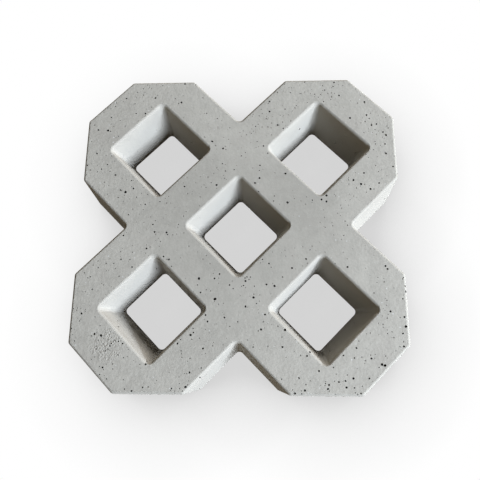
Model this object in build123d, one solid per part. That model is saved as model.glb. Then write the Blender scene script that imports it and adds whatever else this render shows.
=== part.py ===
from build123d import *
import os
from math import radians, sin

# Concrete grid paving stone, cast as one piece: a square slab pierced by square
# pockets that stand corner on. It lies on its bed, with its origin at the middle
# of the bed, +Z up to the wearing face and X and Y square to its flat sides.
# The pockets sit in two crossing rows of three, with one web's width around
# each, and the rows lie along the stone's diagonals. Two crossing bars carry
# them. Clipping the bars to the square slab gives the outline: flat sides,
# a notch between the bars in each side, and the bars' ends as cut corners.

# Driving dimensions, in millimetres and degrees. The side is measured at the
# bed, and the pockets and webs at the wearing face.
bed_side = 400.0
thickness = 60.0
pocket_width = 92.0
web_width = 51.0
side_draft = 2.0
core_draft = 8.8
pocket_corner_radius = 6.0
notch_root_radius = 6.0
outer_corner_radius = 5.0
arris_radius = 3.5

# How far the core of a pocket runs past the wearing face and past the bed.
core_overrun = 5.0

pocket_pitch = pocket_width + web_width
bar_width = pocket_width + 2 * web_width
bar_length = 2 * pocket_pitch + bar_width

bed = Plane.XY
wearing_face = Plane.XY.offset(thickness)
diagonal = Rot(0, 0, 45)


def walls(block):
    """The faces of a block other than its top and bottom."""
    return block.faces().filter_by(Axis.Z, reverse=True)


def upright(edge):
    """True for an edge that runs through the whole thickness, or nearly."""
    return edge.bounding_box().size.Z > thickness / 2


def slab():
    """The square block, with sides that lean in towards the wearing face."""
    block = extrude(Rectangle(bed_side, bed_side), amount=thickness)
    return draft(walls(block), bed, side_draft)


def crossed_bars():
    """The two bars, which widen towards the bed, with the angles between them rounded."""
    outline = Rectangle(bar_length, bar_width) + Rectangle(bar_width, bar_length)
    block = extrude(diagonal * outline, amount=thickness)
    bars = draft(walls(block), wearing_face, core_draft)
    roots = bars.edges().filter_by(upright).sort_by(SortBy.DISTANCE)[:4]
    return fillet(roots, notch_root_radius)


def pocket_core():
    """The mould core of one pocket, square to the bars, which narrows towards the bed."""
    profile = Pos(0, 0, -core_overrun) * Rectangle(pocket_width, pocket_width)
    block = extrude(profile, amount=thickness + 2 * core_overrun)
    core = draft(walls(block), wearing_face, -core_draft)
    return fillet(core.edges().filter_by(upright), pocket_corner_radius)


def pocket_places():
    """The middle of the stone and one pitch from it along each diagonal, turned as the bars are."""
    steps = [(0, 0), (1, 0), (0, 1), (-1, 0), (0, -1)]
    return [diagonal * Pos(u * pocket_pitch, v * pocket_pitch, 0) for u, v in steps]


def flat_side(face):
    """True for the faces that lean by the draft of the slab's sides."""
    return abs(face.normal_at().Z - sin(radians(side_draft))) < 1e-6


def paving_stone():
    """The clipped bars, with pockets, rounded outer corners and rounded arrises."""
    stone = slab() & crossed_bars()
    outer_corners = stone.faces().filter_by(flat_side).edges().filter_by(upright)
    stone = fillet(outer_corners, outer_corner_radius)
    core = pocket_core()
    stone -= [place * core for place in pocket_places()]
    arrises = stone.faces().sort_by(Axis.Z)[-1].edges()
    return fillet(arrises, arris_radius)


os.makedirs("parts", exist_ok=True)
export_step(paving_stone(), "parts/paving_stone.step")
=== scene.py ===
"""Looks of the concrete grid paving stone: its cast surface, air holes, light and camera."""

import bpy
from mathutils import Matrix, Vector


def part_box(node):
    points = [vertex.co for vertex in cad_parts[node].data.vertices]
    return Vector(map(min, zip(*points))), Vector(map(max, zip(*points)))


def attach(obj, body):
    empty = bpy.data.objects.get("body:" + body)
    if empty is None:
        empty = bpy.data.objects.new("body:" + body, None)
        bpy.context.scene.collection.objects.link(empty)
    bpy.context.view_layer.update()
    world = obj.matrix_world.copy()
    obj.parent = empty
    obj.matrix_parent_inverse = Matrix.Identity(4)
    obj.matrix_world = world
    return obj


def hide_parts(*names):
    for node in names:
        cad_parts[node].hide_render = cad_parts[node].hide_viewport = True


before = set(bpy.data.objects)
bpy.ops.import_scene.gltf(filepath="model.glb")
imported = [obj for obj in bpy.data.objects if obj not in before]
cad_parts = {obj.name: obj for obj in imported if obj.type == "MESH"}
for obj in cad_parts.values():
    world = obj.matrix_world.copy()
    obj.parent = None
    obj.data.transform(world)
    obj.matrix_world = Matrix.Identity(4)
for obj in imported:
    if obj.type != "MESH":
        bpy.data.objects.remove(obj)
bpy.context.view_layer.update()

import logging
import math
import random
from dataclasses import dataclass, field
from enum import Enum

import bmesh
import bpy
from mathutils import Matrix, Vector

log = logging.getLogger("paving_stone")

IMAGE_SIDE = 480
MM = 0.001


class Value:
    """One number socket of a node tree, with the arithmetic that the finishes use."""

    def __init__(self, tree: "NodeTree", socket: bpy.types.NodeSocket) -> None:
        """Wraps a socket.

        Args:
            tree: The tree that holds the socket's node.
            socket: An output socket that gives a number.
        """
        self.tree = tree
        self.socket = socket

    def _math(self, operation: str, *operands: "Value | float") -> "Value":
        """Adds a Math node.

        Args:
            operation: The Math node's operation.
            *operands: Its inputs, in order.

        Returns:
            The node's result.
        """
        return Value(self.tree, self.tree.math(operation, *operands))

    def __add__(self, other: "Value | float") -> "Value":
        """Sum."""
        return self._math("ADD", self, other)

    __radd__ = __add__

    def __mul__(self, other: "Value | float") -> "Value":
        """Product."""
        return self._math("MULTIPLY", self, other)

    __rmul__ = __mul__

    def __sub__(self, other: "Value | float") -> "Value":
        """Difference."""
        return self._math("SUBTRACT", self, other)

    def __rsub__(self, other: "Value | float") -> "Value":
        """Difference with this value taken away."""
        return self._math("SUBTRACT", other, self)

    def __truediv__(self, other: "Value | float") -> "Value":
        """Quotient."""
        return self._math("DIVIDE", self, other)


class NodeTree:
    """A node tree under construction."""

    def __init__(self, tree: bpy.types.NodeTree) -> None:
        """Empties a tree and wraps it.

        Args:
            tree: A shader or geometry node tree.
        """
        self.tree = tree
        tree.nodes.clear()

    def add(self, kind: str, settings: dict | None = None, **sockets: object) -> bpy.types.Node:
        """Adds one node.

        Args:
            kind: The node's type name.
            settings: Properties of the node, set before its sockets.
            **sockets: Values or links, by socket name with _ for a space, or
                by position with a leading s, such as s1.

        Returns:
            The new node.
        """
        node = self.tree.nodes.new(kind)
        for name, value in (settings or {}).items():
            setattr(node, name, value)
        for name, value in sockets.items():
            self.plug(node, name, value)
        return node

    def plug(self, node: bpy.types.Node, name: str, value: object) -> None:
        """Sets or links one input socket of a node.

        Args:
            node: The node.
            name: The socket, named as in add.
            value: A number, tuple, socket, Value or data-block.
        """
        by_place = name[0] == "s" and name[1:].isdigit()
        socket = node.inputs[int(name[1:]) if by_place else name.replace("_", " ")]
        source = value.socket if isinstance(value, Value) else value
        if isinstance(source, bpy.types.NodeSocket):
            self.tree.links.new(source, socket)
        else:
            socket.default_value = source

    def math(self, operation: str, *operands: object) -> bpy.types.NodeSocket:
        """Adds a Math node and returns its output."""
        sockets = {f"s{place}": operand for place, operand in enumerate(operands)}
        return self.add("ShaderNodeMath", {"operation": operation}, **sockets).outputs[0]

    def mix_colour(self, factor: Value, first: object, second: object) -> bpy.types.NodeSocket:
        """Adds a Mix node for colours.

        Args:
            factor: 0 for the first colour, 1 for the second.
            first: A socket or a colour.
            second: A socket or a colour.

        Returns:
            The mixed colour.
        """
        node = self.add("ShaderNodeMix", {"data_type": "RGBA"}, s0=factor)
        for place, colour in ((6, first), (7, second)):
            self.plug(node, f"s{place}", (*colour, 1.0) if isinstance(colour, tuple) else colour)
        return node.outputs[2]

    def noise(self, place: bpy.types.NodeSocket, scale: float, detail: float = 2.0) -> Value:
        """Adds a cloudy pattern.

        Args:
            place: The coordinates.
            scale: Features for each metre.
            detail: How many finer patterns are laid over it.

        Returns:
            The pattern, about 0.5 on the whole.
        """
        node = self.add("ShaderNodeTexNoise", Vector=place, Scale=scale, Detail=detail)
        return Value(self, node.outputs["Fac"])

    def band(self, value: Value, low: float, high: float, start: float = 0.0, end: float = 1.0) -> Value:
        """Spreads the part of a value between two levels over another range, and clamps it there.

        Args:
            value: The value.
            low: The level that gives start.
            high: The level that gives end.
            start: The result at low.
            end: The result at high.

        Returns:
            The spread value.
        """
        node = self.add("ShaderNodeMapRange", s0=value, s1=low, s2=high, s3=start, s4=end)
        return Value(self, node.outputs[0])

    def distance(self, place: bpy.types.NodeSocket, point: tuple[float, float, float]) -> Value:
        """Gives how far the coordinates are from a point, in metres."""
        node = self.add("ShaderNodeVectorMath", {"operation": "DISTANCE"}, s0=place, s1=point)
        return Value(self, node.outputs["Value"])

    def scaled(self, vector: bpy.types.NodeSocket, factor: Value) -> bpy.types.NodeSocket:
        """Multiplies a vector by a number."""
        node = self.add("ShaderNodeVectorMath", {"operation": "SCALE"}, Vector=vector, Scale=factor)
        return node.outputs[0]

    def rise(self, direction: bpy.types.NodeSocket) -> Value:
        """Gives the upward part of a direction."""
        return Value(self, self.add("ShaderNodeSeparateXYZ", Vector=direction).outputs["Z"])


@dataclass(frozen=True)
class Spots:
    """Round spots that are too fine to be in the mesh, such as pores and specks of lime.

    The scale is in cells for each metre, the share is the part of the cells that
    hold a spot, and the radii are in cells. A spot fades out between the edge's
    start and end, which are in its radii. The choice step is the width of the draw
    over which a cell goes from no spot to a whole one.
    """

    scale: float
    share: float
    smallest: float
    largest: float
    edge_start: float = 0.7
    edge_end: float = 1.2
    choice_step: float = 0.01

    def mask(self, tree: NodeTree, place: bpy.types.NodeSocket) -> Value:
        """Adds the pattern.

        Args:
            tree: The material's tree.
            place: The coordinates.

        Returns:
            1 in a spot and 0 elsewhere.
        """
        cells = tree.add("ShaderNodeTexVoronoi", Vector=place, Scale=self.scale)
        split = tree.add("ShaderNodeSeparateColor", Color=cells.outputs["Color"])
        bar = 1 - self.share
        chosen = tree.band(Value(tree, split.outputs[0]), bar, bar + self.choice_step)
        radius = Value(tree, split.outputs[1]) * (self.largest - self.smallest) + self.smallest
        away = Value(tree, cells.outputs["Distance"]) / radius
        return chosen * (1 - tree.band(away, self.edge_start, self.edge_end))


@dataclass(frozen=True)
class Concrete:
    """The grey cast concrete, smooth from the mould, with its cloudy tone and fine pores.

    Scales are in features for each metre, and lengths in metres. Each weight says
    how much a pattern adds to the tone, and each height what it adds to the relief.
    A low and a high are the levels of a pattern where what it drives starts and is
    whole. The rises are upward parts of the normal, 1 on a level face, between which
    the flatness grows. The least face is the face's share of the colour at flatness 0.
    """

    name: str = "cast_concrete"
    pale: tuple[float, float, float] = (0.409, 0.386, 0.339)
    deep: tuple[float, float, float] = (0.328, 0.309, 0.271)
    warm: tuple[float, float, float] = (0.350, 0.325, 0.286)
    # painted shade: the dark colour of pores too fine for the mesh
    pore_shade: tuple[float, float, float] = (0.100, 0.094, 0.084)
    lime: tuple[float, float, float] = (0.560, 0.550, 0.520)
    bloom: tuple[float, float, float] = (0.399, 0.375, 0.333)
    streak: tuple[float, float, float] = (0.363, 0.341, 0.302)
    cloud_scale: float = 13.0
    cloud_weight: float = 0.45
    blotch_scale: float = 85.0
    blotch_weight: float = 0.25
    stain_scale: float = 28.0
    stain_low: float = 0.52
    stain_high: float = 0.75
    stain_strength: float = 0.5
    grit_scale: float = 300.0
    grit_weight: float = 0.30
    sand_scale: float = 700.0
    sand_weight: float = 0.10
    tone_start: float = 0.07
    tone_low: float = 0.38
    tone_high: float = 0.62
    streak_weights: tuple[float, float, float] = (0.4, 0.3, 0.3)
    streak_low: float = 0.40
    streak_high: float = 0.62
    pores: Spots = Spots(scale=190.0, share=0.42, smallest=0.08, largest=0.20)
    pore_shade_strength: float = 0.8
    specks: Spots = Spots(scale=160.0, share=0.26, smallest=0.07, largest=0.16)
    speck_strength: float = 0.85
    dark_centre: tuple[float, float, float] = (0.02, 0.01, 0.05)
    dark_middle: float = 0.04
    pale_rim: float = 0.21
    rim_weight: float = 0.16
    calm_share: float = 0.45
    roughness: float = 0.88
    roughness_spread: float = 0.1
    specular: float = 0.25
    relief_depth: float = 0.0008
    relief_strength: float = 0.7
    blotch_height: float = 0.8
    grit_height: float = 0.5
    pore_depth: float = 0.6
    wall_rise: float = 0.6
    face_rise: float = 0.97
    wall_relief: float = 0.25
    least_face: float = 0.1
    crust_scale: float = 420.0
    crust_height: float = 6.5
    crust_low: float = 0.35
    crust_high: float = 0.6
    rough_place: tuple[float, float, float] = (-0.151, -0.143, 0.060)
    rough_reach: float = 0.024

    def material(self) -> bpy.types.Material:
        """Builds the material, on Object coordinates in metres."""
        made = bpy.data.materials.new(self.name)
        made.use_nodes = True
        tree = NodeTree(made.node_tree)
        place = tree.add("ShaderNodeTexCoord").outputs["Object"]
        clouds = tree.noise(place, self.cloud_scale, detail=4.0)
        blotches = tree.noise(place, self.blotch_scale, detail=3.0)
        stains = tree.noise(place, self.stain_scale)
        sand = tree.noise(place, self.sand_scale)
        grit = tree.noise(place, self.grit_scale)
        pores = self.pores.mask(tree, place)
        specks = self.specks.mask(tree, place)
        flat = self.flatness(tree)
        outward = tree.band(tree.distance(place, self.dark_centre), self.dark_middle, self.pale_rim)
        busy = flat * (outward * (1 - self.calm_share) + self.calm_share)

        fine = (grit - 0.5) * self.grit_weight * busy + (sand - 0.5) * self.sand_weight * busy
        broad = clouds * self.cloud_weight + blotches * self.blotch_weight
        tone = broad + fine + outward * self.rim_weight + self.tone_start
        face = tree.mix_colour(tree.band(tone, self.tone_low, self.tone_high), self.deep, self.pale)
        faced = flat * (1 - self.least_face) + self.least_face
        body = tree.mix_colour(faced, self.wall(tree, clouds, stains, blotches), face)
        stain = tree.band(stains, self.stain_low, self.stain_high) * self.stain_strength
        stained = tree.mix_colour(stain, body, self.warm)
        limed = tree.mix_colour(specks * busy * flat * self.speck_strength, stained, self.lime)
        # painted shade: the pores are darkened to stand in for the shade inside them
        colour = tree.mix_colour(pores * busy * flat * self.pore_shade_strength, limed, self.pore_shade)

        relief = self.relief(tree, place, blotches, grit, pores) * busy
        bump = tree.add(
            "ShaderNodeBump", Strength=self.relief_strength, Distance=self.relief_depth, Height=relief
        )
        shader = tree.add(
            "ShaderNodeBsdfPrincipled",
            Base_Color=colour,
            Roughness=self.roughness + (sand - 0.5) * self.roughness_spread,
            Normal=bump.outputs["Normal"],
        )
        shader.inputs["Specular IOR Level"].default_value = self.specular
        tree.add("ShaderNodeOutputMaterial", Surface=shader.outputs["BSDF"])
        return made

    def wall(self, tree: NodeTree, clouds: Value, stains: Value, blotches: Value) -> bpy.types.NodeSocket:
        """Mixes the colour of the walls, a pale bloom with darker streaks.

        Args:
            tree: The material's tree.
            clouds: The broad pattern.
            stains: The middling pattern.
            blotches: The small pattern.

        Returns:
            The colour.
        """
        by_cloud, by_stain, by_blotch = self.streak_weights
        mixed = clouds * by_cloud + stains * by_stain + blotches * by_blotch
        streaked = tree.band(mixed, self.streak_low, self.streak_high)
        return tree.mix_colour(streaked, self.bloom, self.streak)

    def relief(
        self, tree: NodeTree, place: bpy.types.NodeSocket, blotches: Value, grit: Value, pores: Value
    ) -> Value:
        """Adds up the fine relief, with the crumbled patch beside the lower left pocket.

        Args:
            tree: The material's tree.
            place: The coordinates.
            blotches: The pattern of low waves.
            grit: The pattern of the grain.
            pores: The mask of the pores.

        Returns:
            The height, for a Bump node.
        """
        near = 1 - tree.band(tree.distance(place, self.rough_place), 0.0, self.rough_reach)
        crumbled = near * tree.band(blotches, self.crust_low, self.crust_high)
        crust = tree.noise(place, self.crust_scale)
        waves = (blotches - 0.5) * self.blotch_height + (grit - 0.5) * self.grit_height
        even = waves - pores * self.pore_depth
        return even + (crust - 0.5) * self.crust_height * crumbled

    def flatness(self, tree: NodeTree) -> Value:
        """Gives 1 on the level faces and the walls' share of the relief on the walls."""
        rise = tree.rise(tree.add("ShaderNodeNewGeometry").outputs["Normal"])
        level = Value(tree, tree.math("ABSOLUTE", rise))
        return tree.band(level, self.wall_rise, self.face_rise, self.wall_relief, 1.0)


@dataclass(frozen=True)
class HoleWallPaintedShade:
    """The rough wall of an air hole, near black as painted shade for its depth."""

    name: str = "air_hole_wall"
    # painted shade: this near-black colour stands in for the shade deep inside an air hole
    colour: tuple[float, float, float] = (0.055, 0.050, 0.043)
    roughness: float = 0.95
    grit_scale: float = 900.0
    grit_shade: float = 0.5

    def material(self) -> bpy.types.Material:
        """Builds the material."""
        made = bpy.data.materials.new(self.name)
        made.use_nodes = True
        tree = NodeTree(made.node_tree)
        place = tree.add("ShaderNodeTexCoord").outputs["Object"]
        grit = tree.noise(place, self.grit_scale)
        dark = tuple(part * self.grit_shade for part in self.colour)
        shader = tree.add(
            "ShaderNodeBsdfPrincipled",
            Base_Color=tree.mix_colour(grit, dark, self.colour),
            Roughness=self.roughness,
        )
        tree.add("ShaderNodeOutputMaterial", Surface=shader.outputs["BSDF"])
        return made


class Side(Enum):
    """The kinds of surface that a mould leaves, by how far their normals rise."""

    WEARING = (0.98, 1.01)
    WALL = (-0.2, 0.5)
    BED = (-1.01, -0.98)


@dataclass
class AirHoles:
    """The holes that trapped air leaves in one kind of surface, strewn by rule.

    The density is in places for each square metre, before the crowding thins them,
    and lengths are in metres. A larger skew gives fewer large holes. The sink is how
    deep a ball's middle lies under the surface, in its radii. Holes are few within
    the calm radius of the stone's middle, and as many as they get past the busy one.
    """

    side: Side
    density: float
    spacing: float
    smallest: float
    largest: float
    skew: float
    sink: float
    seed: int
    cluster_scale: float = 22.0
    cluster_low: float = 0.42
    cluster_high: float = 0.66
    cluster_floor: float = 0.12
    calm_radius: float = 60 * MM
    busy_radius: float = 170 * MM
    calm_share: float = 0.15
    most_turn: tuple[float, float, float] = (6.28, 6.28, 6.28)
    least_stretch: tuple[float, float, float] = (0.75, 0.75, 0.8)
    most_stretch: tuple[float, float, float] = (1.2, 1.2, 1.15)
    lump_scale: float = 1.1
    lump_height: float = 0.9

    def tree(self, wall: bpy.types.Material) -> tuple[bpy.types.NodeTree, dict[str, str]]:
        """Builds the geometry nodes that lay lumpy balls into the surface.

        Args:
            wall: The finish of the holes, near black as painted shade.

        Returns:
            The tree, and the identifier of each of its number inputs by name.
        """
        group = bpy.data.node_groups.new(f"air_holes_{self.side.name.lower()}", "GeometryNodeTree")
        inputs = self.declare(group.interface)
        tree = NodeTree(group)
        given = tree.add("NodeGroupInput").outputs
        points = tree.add(
            "GeometryNodeDistributePointsOnFaces",
            {"distribute_method": "POISSON"},
            Mesh=given["Stone"],
            Selection=self.chosen(tree),
            Distance_Min=given["Spacing"],
            Density_Max=given["Density"],
            Density_Factor=self.crowding(tree),
            Seed=given["Seed"],
        )
        radius = self.radius(tree, given)
        inward = Value(tree, given["Sink"]) * radius * -1.0
        sunk = tree.add(
            "GeometryNodeSetPosition",
            Geometry=points.outputs["Points"],
            Offset=tree.scaled(points.outputs["Normal"], inward),
        )
        ball = self.ball(tree)
        vector = {"data_type": "FLOAT_VECTOR"}
        spin = tree.add("FunctionNodeRandomValue", vector, Max=self.most_turn, Seed=given["Seed"])
        stretch = tree.add(
            "FunctionNodeRandomValue",
            vector,
            Min=self.least_stretch,
            Max=self.most_stretch,
            Seed=given["Seed"],
        )
        placed = tree.add(
            "GeometryNodeInstanceOnPoints",
            Points=sunk.outputs[0],
            Instance=ball,
            Rotation=spin.outputs["Value"],
            Scale=tree.scaled(stretch.outputs["Value"], radius),
        )
        real = tree.add("GeometryNodeRealizeInstances", Geometry=placed.outputs[0])
        dressed = tree.add("GeometryNodeSetMaterial", Geometry=real.outputs[0], Material=wall)
        tree.add("NodeGroupOutput", Balls=dressed.outputs[0])
        return group, inputs

    def declare(self, face: bpy.types.NodeTreeInterface) -> dict[str, str]:
        """Names the tree's inputs and its output.

        Args:
            face: The tree's interface.

        Returns:
            The identifier of each number input by name.
        """
        face.new_socket("Stone", in_out="INPUT", socket_type="NodeSocketGeometry")
        names = ("Density", "Spacing", "Smallest", "Largest", "Skew", "Sink")
        inputs = {
            name: face.new_socket(name, in_out="INPUT", socket_type="NodeSocketFloat").identifier
            for name in names
        }
        inputs["Seed"] = face.new_socket("Seed", in_out="INPUT", socket_type="NodeSocketInt").identifier
        face.new_socket("Balls", in_out="OUTPUT", socket_type="NodeSocketGeometry")
        return inputs

    def chosen(self, tree: NodeTree) -> Value:
        """Gives 1 on the faces of this kind of surface."""
        low, high = self.side.value
        rise = tree.rise(tree.add("GeometryNodeInputNormal").outputs[0])
        above = Value(tree, tree.math("GREATER_THAN", rise, low))
        return above * Value(tree, tree.math("LESS_THAN", rise, high))

    def crowding(self, tree: NodeTree) -> Value:
        """Gives how likely a hole is, which is more in clusters and towards the rim."""
        position = tree.add("GeometryNodeInputPosition").outputs[0]
        clusters = tree.noise(position, self.cluster_scale)
        crowd = tree.band(clusters, self.cluster_low, self.cluster_high, self.cluster_floor, 1.0)
        reach = tree.add("ShaderNodeVectorMath", {"operation": "LENGTH"}, Vector=position)
        away = Value(tree, reach.outputs["Value"])
        return crowd * tree.band(away, self.calm_radius, self.busy_radius, self.calm_share, 1.0)

    def radius(self, tree: NodeTree, given: bpy.types.NodeOutputs) -> Value:
        """Draws the radius of each hole, with few large ones.

        Args:
            tree: The tree.
            given: The tree's inputs.

        Returns:
            The radius in metres.
        """
        draw = tree.add("FunctionNodeRandomValue", {"data_type": "FLOAT"}, Seed=given["Seed"])
        skewed = Value(tree, tree.math("POWER", draw.outputs["Value"], given["Skew"]))
        smallest = Value(tree, given["Smallest"])
        return smallest + (Value(tree, given["Largest"]) - smallest) * skewed

    def ball(self, tree: NodeTree) -> bpy.types.NodeSocket:
        """Adds one lumpy ball of radius 1 to the tree, and returns it."""
        ball = tree.add("GeometryNodeMeshIcoSphere", Radius=1.0, Subdivisions=2)
        position = tree.add("GeometryNodeInputPosition").outputs[0]
        pattern = tree.noise(position, self.lump_scale, detail=1.0)
        lumps = pattern * self.lump_height - self.lump_height / 2
        out = tree.scaled(position, lumps)
        lumpy = tree.add("GeometryNodeSetPosition", Geometry=ball.outputs["Mesh"], Offset=out)
        return lumpy.outputs[0]

    def cutter(self, stone: bpy.types.Object, wall: bpy.types.Material) -> bpy.types.Object:
        """Makes the balls of this kind of surface as one plain object.

        Args:
            stone: The stone that the balls are laid into.
            wall: The finish of the holes, near black as painted shade.

        Returns:
            An object at the origin that holds every ball.
        """
        group, inputs = self.tree(wall)
        carrier = bpy.data.objects.new(group.name, stone.data.copy())
        bpy.context.scene.collection.objects.link(carrier)
        modifier = carrier.modifiers.new("strew", "NODES")
        modifier.node_group = group
        settings = {
            "Density": self.density,
            "Spacing": self.spacing,
            "Smallest": self.smallest,
            "Largest": self.largest,
            "Skew": self.skew,
            "Sink": self.sink,
            "Seed": self.seed,
        }
        for name, value in settings.items():
            modifier[inputs[name]] = value
        return frozen(carrier)


class HoleSize(Enum):
    """The radius of an air hole whose place is listed."""

    WIDE = 1.7 * MM
    MIDDLING = 1.36 * MM
    FINE = 0.92 * MM
    CHIP = 2.6 * MM


@dataclass
class SeenHoles:
    """The air holes that stand out in the photograph, at places read from it.

    Each place is a column and a row of the photograph, and the hole goes where the
    camera sees that point on the wearing face.
    """

    size: HoleSize
    sink: float = 0.5
    top_left: tuple[tuple[float, float], ...] = ()
    top_right: tuple[tuple[float, float], ...] = ()
    middle: tuple[tuple[float, float], ...] = ()
    bottom_left: tuple[tuple[float, float], ...] = ()
    bottom_right: tuple[tuple[float, float], ...] = ()
    seed: int = 5
    size_spread: float = 0.1
    stretch_spread: float = 0.15

    def cutter(self, camera: "Viewpoint", height: float, wall: bpy.types.Material) -> bpy.types.Object:
        """Makes a ball at each place, as one object.

        Args:
            camera: The camera that took the photograph.
            height: The height of the wearing face.
            wall: The finish of the holes: the near-black painted shade, or the concrete for the chip.

        Returns:
            An object at the origin that holds every ball.
        """
        shape = bmesh.new()
        dice = random.Random(self.seed)
        places = (*self.top_left, *self.top_right, *self.middle, *self.bottom_left, *self.bottom_right)
        for column, row in places:
            radius = self.size.value * dice.uniform(1 - self.size_spread, 1 + self.size_spread)
            centre = camera.seen_at(column, row, height) - Vector((0, 0, self.sink * radius))
            least, most = 1 - self.stretch_spread, 1 + self.stretch_spread
            stretch = Matrix.Diagonal([radius * dice.uniform(least, most) for _ in range(3)]).to_4x4()
            turn = Matrix.Rotation(dice.uniform(0, math.tau), 4, "Z")
            placed = Matrix.Translation(centre) @ turn @ stretch
            bmesh.ops.create_icosphere(shape, subdivisions=2, radius=1.0, matrix=placed)
        mesh = bpy.data.meshes.new(f"seen_holes_{self.size.name.lower()}")
        shape.to_mesh(mesh)
        shape.free()
        mesh.materials.append(wall)
        balls = bpy.data.objects.new(mesh.name, mesh)
        bpy.context.scene.collection.objects.link(balls)
        return balls


def frozen(source: bpy.types.Object) -> bpy.types.Object:
    """Turns an object with modifiers into a plain one of the same name.

    Args:
        source: The object, which is removed.

    Returns:
        The plain object, linked to the scene.
    """
    name = source.name
    view = bpy.context.evaluated_depsgraph_get()
    mesh = bpy.data.meshes.new_from_object(source.evaluated_get(view), depsgraph=view)
    bpy.data.objects.remove(source)
    mesh.name = name
    plain = bpy.data.objects.new(name, mesh)
    bpy.context.scene.collection.objects.link(plain)
    return plain


@dataclass
class CastStone:
    """The dressed stone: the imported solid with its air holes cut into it."""

    name: str = "cast_stone"
    node: str = "paving_stone"
    slot: str = "concrete"
    sharp_angle: float = math.radians(40)
    merge_distance: float = 0.002 * MM
    holes: tuple[AirHoles, ...] = (
        AirHoles(
            Side.WEARING, density=18000.0, spacing=2.4 * MM, smallest=0.45 * MM, largest=1.0 * MM,
            skew=2.0, sink=0.45, seed=7,
        ),
        AirHoles(
            Side.WALL, density=3800.0, spacing=4.5 * MM, smallest=0.4 * MM, largest=1.5 * MM,
            skew=2.4, sink=0.4, seed=11,
        ),
        AirHoles(
            Side.BED, density=2200.0, spacing=6.0 * MM, smallest=0.4 * MM, largest=2.4 * MM,
            skew=3.0, sink=0.15, seed=23,
        ),
    )
    seen: tuple[SeenHoles, ...] = (
        SeenHoles(
            HoleSize.WIDE,
            top_left=((125.5, 192), (108, 130.5)),
            top_right=((361, 184), (366.5, 115)),
            middle=((287.5, 202.5), (255, 183), (215, 299), (199, 278.5), (253.5, 297.5), (265, 314.5)),
            bottom_left=((190.5, 335), (185.5, 387), (101, 335.5)),
            bottom_right=(
                (292, 268), (406, 326.5), (406.5, 291.5), (385, 365.5), (382, 364.5), (353.5, 378.5),
                (285, 330),
            ),
        ),
        SeenHoles(
            HoleSize.MIDDLING,
            top_left=(
                (181.5, 102.5), (145.5, 113.5), (97, 153.5), (120.5, 190), (133.5, 188.5), (184.5, 186.5),
                (216.5, 185), (223, 148.5), (212.5, 141.5), (101.5, 169), (126.5, 98.5), (115.5, 175),
                (98.5, 130), (111.5, 117.5), (155.5, 98), (185, 84),
            ),
            top_right=(
                (269.5, 101.5), (277.5, 125), (263.5, 146), (334, 82.5), (371.5, 125), (376.5, 124),
                (385, 144), (386, 153.5), (364, 173), (353.5, 180), (379, 183), (386, 135), (383, 132),
                (350, 118), (339, 95.5), (364.5, 102), (393, 166.5), (370.5, 189), (269.5, 111.5),
            ),
            middle=(
                (326.5, 195.5), (321.5, 199.5), (285.5, 173.5), (259.5, 178), (214.5, 278.5), (219.5, 274),
                (229.5, 285), (200.5, 292.5), (207.5, 321.5), (205.5, 315), (224.5, 317.5), (261, 329.5),
                (266.5, 284.5), (274.5, 286), (269, 263.5), (245.5, 306.5), (245.5, 281), (326.5, 201.5),
            ),
            bottom_left=(
                (146.5, 248.5), (163.5, 256.5), (169, 259.5), (123.5, 235.5), (203, 348.5), (189.5, 372.5),
                (131.5, 391), (145.5, 364.5), (94.5, 334), (154.5, 232), (166.5, 232.5), (177.5, 343.5),
                (81.5, 313.5), (102.5, 367.5),
            ),
            bottom_right=(
                (306, 259), (347.5, 267), (385.5, 266), (387.5, 269), (282.5, 347), (310, 352), (307, 356),
                (319, 371), (299, 378), (305, 390.5), (295, 393.5), (339, 382), (345.5, 381), (346.5, 387.5),
                (356.5, 348), (371.5, 358.5), (404, 346.5), (403, 333.5), (404.5, 317), (390.5, 311.5),
                (405.5, 286), (329, 385), (328, 389), (369.5, 378.5), (361, 393.5),
            ),
        ),
        SeenHoles(
            HoleSize.FINE,
            top_left=((87.5, 165.5), (90.5, 170), (131.5, 180.5), (137.5, 92.5), (225.5, 171), (204.5, 137)),
            top_right=((304.5, 82), (333, 86.5), (388, 128), (394.5, 156), (258.5, 191.5), (273.5, 201)),
            middle=((247, 277), (249, 279.5), (245, 278), (250.5, 277), (243.5, 285.5), (282.5, 277)),
            bottom_left=(
                (113, 342), (115.5, 341), (110, 346), (108, 349), (105.5, 351), (111.5, 343.5),
                (118.5, 341.5), (121, 259.5), (130, 259.5), (132, 267), (197.5, 285), (193.5, 332.5),
                (124.5, 389), (171.5, 388.5),
            ),
            bottom_right=(
                (256.5, 303.5), (303, 341.5), (354.5, 358), (343.5, 355.5), (333.5, 367.5), (354.5, 388),
            ),
        ),
        SeenHoles(HoleSize.CHIP, sink=-0.1, bottom_right=((274, 304.5),)),
    )

    def blank(self) -> bpy.types.Object:
        """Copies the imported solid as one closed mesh."""
        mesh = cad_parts[self.node].data.copy()
        mesh.name = self.name
        shape = bmesh.new()
        shape.from_mesh(mesh)
        bmesh.ops.remove_doubles(shape, verts=shape.verts, dist=self.merge_distance)
        shape.to_mesh(mesh)
        shape.free()
        stone = bpy.data.objects.new(self.name, mesh)
        bpy.context.scene.collection.objects.link(stone)
        return stone

    def cut(self, stone: bpy.types.Object, cutter: bpy.types.Object) -> bpy.types.Object:
        """Takes a cutter out of the stone, and returns the stone."""
        taken = stone.modifiers.new("cut", "BOOLEAN")
        taken.operation = "DIFFERENCE"
        taken.solver = "MANIFOLD"
        taken.material_mode = "TRANSFER"
        taken.object = cutter
        done = frozen(stone)
        bpy.data.objects.remove(cutter)
        return done

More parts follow.
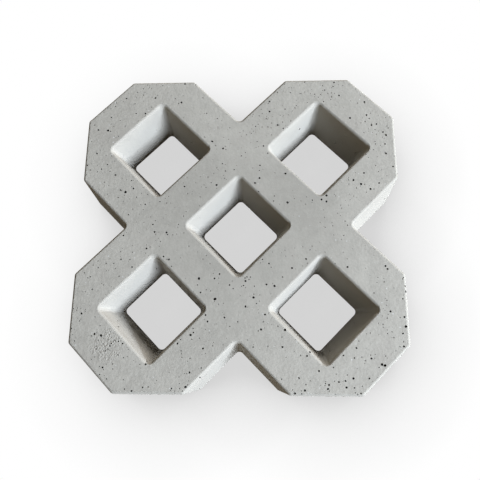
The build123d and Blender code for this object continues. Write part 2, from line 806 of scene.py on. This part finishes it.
    def smooth(self, stone: bpy.types.Object) -> bpy.types.Object:
        """Shades the rounded edges smooth, with the plane faces true and the rims of holes sharp.

        Args:
            stone: The stone with its holes, which is used up.

        Returns:
            The stone with its shading.
        """
        shape = bmesh.new()
        shape.from_mesh(stone.data)
        for face in shape.faces:
            face.smooth = True
        for edge in shape.edges:
            edge.smooth = edge.is_manifold and edge.calc_face_angle() < self.sharp_angle
        shape.to_mesh(stone.data)
        shape.free()
        weighted = stone.modifiers.new("true_planes", "WEIGHTED_NORMAL")
        weighted.mode = "FACE_AREA"
        weighted.weight = 100
        weighted.keep_sharp = True
        return frozen(stone)

    def build(self, camera: "Viewpoint") -> bpy.types.Object:
        """Builds and dresses the stone.

        Args:
            camera: The camera, which places the holes that the photograph shows.

        Returns:
            The finished piece, which rides on the root body.
        """
        concrete = Concrete().material()
        # the air holes' near-black finish, painted shade for their depth
        wall = HoleWallPaintedShade().material()
        stone = self.blank()
        stone.data.materials.clear()
        stone.data.materials.append(concrete)
        _, (_, _, height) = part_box(self.node)
        cutters = [holes.cutter(stone, wall) for holes in self.holes]
        for holes in self.seen:
            inside = concrete if holes.size is HoleSize.CHIP else wall
            cutters.append(holes.cutter(camera, height, inside))
        for cutter in cutters:
            log.info("%s: %d faces", cutter.name, len(cutter.data.polygons))
            stone = self.cut(stone, cutter)
        stone = self.smooth(stone)
        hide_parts(self.node)
        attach(stone, "root")
        return stone


@dataclass
class Viewpoint:
    """The camera, above the front edge of the stone and looking down on it."""

    place: Vector = field(default_factory=lambda: Vector((28.8, -130.7, 534.3)) * MM)
    aim: Vector = field(default_factory=lambda: Vector((9.6, -17.4, 0.0)) * MM)
    roll: float = math.radians(0.34)
    lens: float = 30.17
    sensor: float = 36.0
    shift_x: float = -0.0156
    shift_y: float = 0.0191

    def turn(self) -> Matrix:
        """The camera's rotation, as a 3 by 3 matrix."""
        back = (self.place - self.aim).normalized()
        right = Vector((0, 1, 0)).cross(back).normalized()
        upright = Matrix((right, back.cross(right), back)).transposed()
        return upright @ Matrix.Rotation(self.roll, 3, "Z")

    def seen_at(self, column: float, row: float, height: float) -> Vector:
        """Finds the point at a height that the camera sees at a pixel of the photograph.

        Args:
            column: Pixels from the photograph's left edge.
            row: Pixels from its top edge.
            height: The point's height in metres.

        Returns:
            The point.
        """
        width = self.sensor / self.lens
        across = (column / IMAGE_SIDE - 0.5 + self.shift_x) * width
        up = (0.5 - row / IMAGE_SIDE + self.shift_y) * width
        ray = self.turn() @ Vector((across, up, -1.0))
        return self.place + ray * ((height - self.place.z) / ray.z)

    def build(self) -> bpy.types.Object:
        """Adds the camera to the scene and makes it the scene's own."""
        data = bpy.data.cameras.new("camera")
        data.lens = self.lens
        data.sensor_width = self.sensor
        data.shift_x = self.shift_x
        data.shift_y = self.shift_y
        data.clip_start = 0.01
        camera = bpy.data.objects.new("camera", data)
        camera.matrix_world = Matrix.Translation(self.place) @ self.turn().to_4x4()
        bpy.context.scene.collection.objects.link(camera)
        bpy.context.scene.camera = camera
        return camera


@dataclass(frozen=True)
class Window:
    """A broad, low light on one side of the stone.

    The azimuth runs from +X towards +Y, and the height is the angle over the floor.
    Lengths are in metres and the power is in watts.
    """

    name: str
    azimuth: float
    height: float
    width: float
    tall: float
    power: float
    colour: tuple[float, float, float]
    distance: float = 4.0

    def build(self) -> None:
        """Adds the light, turned towards the stone."""
        data = bpy.data.lights.new(self.name, "AREA")
        data.shape = "RECTANGLE"
        data.size = self.width
        data.size_y = self.tall
        data.energy = self.power
        data.color = self.colour
        window = bpy.data.objects.new(self.name, data)
        level = math.cos(self.height)
        along = (math.cos(self.azimuth) * level, math.sin(self.azimuth) * level)
        away = Vector((*along, math.sin(self.height)))
        window.location = away * self.distance
        window.rotation_mode = "QUATERNION"
        window.rotation_quaternion = away.to_track_quat("Z", "Y")
        bpy.context.scene.collection.objects.link(window)


@dataclass
class Studio:
    """Floor, light and surroundings.

    The sky shows as white and the floor as white with a painted shadow of the stone, and both light the
    stone with their own colours.
    """

    floor_side: float = 8.0
    windows: tuple[Window, ...] = (
        Window(
            "cool_window", azimuth=math.radians(-31), height=math.radians(27.3), width=1.4, tall=0.95,
            power=384.0, colour=(0.768, 0.864, 1.0),
        ),
        Window(
            "side_window", azimuth=math.radians(40), height=math.radians(18), width=2.0, tall=1.2,
            power=137.0, colour=(0.98, 0.985, 1.0),
        ),
    )
    horizon_strength: float = 0.44
    zenith_strength: float = 0.05
    dim_above: float = 0.5
    sky_colour: tuple[float, float, float] = (1.0, 0.76, 0.35)
    bounce_colour: tuple[float, float, float] = (0.205, 0.168, 0.118)
    # the floor's painted shadow: its darkest glow, its reach, where it is whole, and its lean
    pocket_painted_shade: float = 0.655
    shade_reach: float = 0.12
    shade_full: float = 0.5
    shade_lean: tuple[float, float, float] = (-0.13, 0.14, 1.0)

    def floor(self) -> None:
        """Adds the pale floor, whose seen glow darkens where the stone hides the sky from it, a painted
        shadow.
        """
        half = self.floor_side / 2
        corners = [(-half, -half, 0), (half, -half, 0), (half, half, 0), (-half, half, 0)]
        mesh = bpy.data.meshes.new("floor")
        mesh.from_pydata(corners, [], [(0, 1, 2, 3)])
        plane = bpy.data.objects.new("floor", mesh)
        bpy.context.scene.collection.objects.link(plane)
        mesh.materials.append(self.floor_material())

    def floor_material(self) -> bpy.types.Material:
        """Builds the floor's finish, with a painted shadow in the glow that it shows."""
        made = bpy.data.materials.new("pale_floor")
        made.use_nodes = True
        tree = NodeTree(made.node_tree)
        lean = Vector(self.shade_lean).normalized()
        towards = tree.add("ShaderNodeCombineXYZ", X=lean.x, Y=lean.y, Z=lean.z)
        openness = tree.add(
            "ShaderNodeAmbientOcclusion",
            {"samples": 16},
            Distance=self.shade_reach,
            Normal=towards.outputs[0],
        )
        open_share = Value(tree, openness.outputs["AO"])
        # painted shadow: the seen glow dims with ambient occlusion from the stone
        shade = tree.band(open_share, self.shade_full, 1.0, self.pocket_painted_shade, 1.0)
        seen = tree.add("ShaderNodeEmission", Strength=shade)
        felt = tree.add("ShaderNodeBsdfDiffuse", Color=(*self.bounce_colour, 1.0))
        mixed = self.shown(tree, felt, seen)
        tree.add("ShaderNodeOutputMaterial", Surface=mixed.outputs[0])
        return made

    def shown(self, tree: NodeTree, felt: bpy.types.Node, seen: bpy.types.Node) -> bpy.types.Node:
        """Mixes two shaders by what a ray is for.

        Args:
            tree: The tree of the floor or of the sky.
            felt: The shader that lights the stone.
            seen: The shader that shows the background itself.

        Returns:
            The Mix Shader node.
        """
        path = tree.add("ShaderNodeLightPath")
        camera, glossy, through = (
            Value(tree, path.outputs[name])
            for name in ("Is Camera Ray", "Is Glossy Ray", "Is Transmission Ray")
        )
        in_sight = camera + glossy + through
        return tree.add("ShaderNodeMixShader", s0=in_sight, s1=felt.outputs[0], s2=seen.outputs[0])

    def sky(self) -> None:
        """Sets the light from all round, brighter near the horizon, which shows as white."""
        world = bpy.data.worlds.new("sky")
        world.use_nodes = True
        tree = NodeTree(world.node_tree)
        rise = tree.rise(tree.add("ShaderNodeTexCoord").outputs["Generated"])
        low = tuple(part * self.horizon_strength for part in self.sky_colour)
        high = tuple(part * self.zenith_strength for part in self.sky_colour)
        glow = tree.mix_colour(tree.band(rise, 0.0, self.dim_above), low, high)
        felt = tree.add("ShaderNodeBackground", Color=glow, Strength=1.0)
        seen = tree.add("ShaderNodeBackground", Color=(1, 1, 1, 1), Strength=1.0)
        mixed = self.shown(tree, felt, seen)
        tree.add("ShaderNodeOutputWorld", Surface=mixed.outputs[0])
        bpy.context.scene.world = world

    def build(self) -> None:
        """Adds everything round the stone."""
        self.floor()
        for window in self.windows:
            window.build()
        self.sky()


def main() -> None:
    """Dresses the stone and sets up the studio."""
    logging.basicConfig(level=logging.INFO)
    camera = Viewpoint()
    stone = CastStone().build(camera)
    log.info("%s: built, %d faces", stone.name, len(stone.data.polygons))
    Studio().build()
    camera.build()
    bpy.context.scene.view_settings.view_transform = "Standard"


if __name__ == "__main__":
    main()
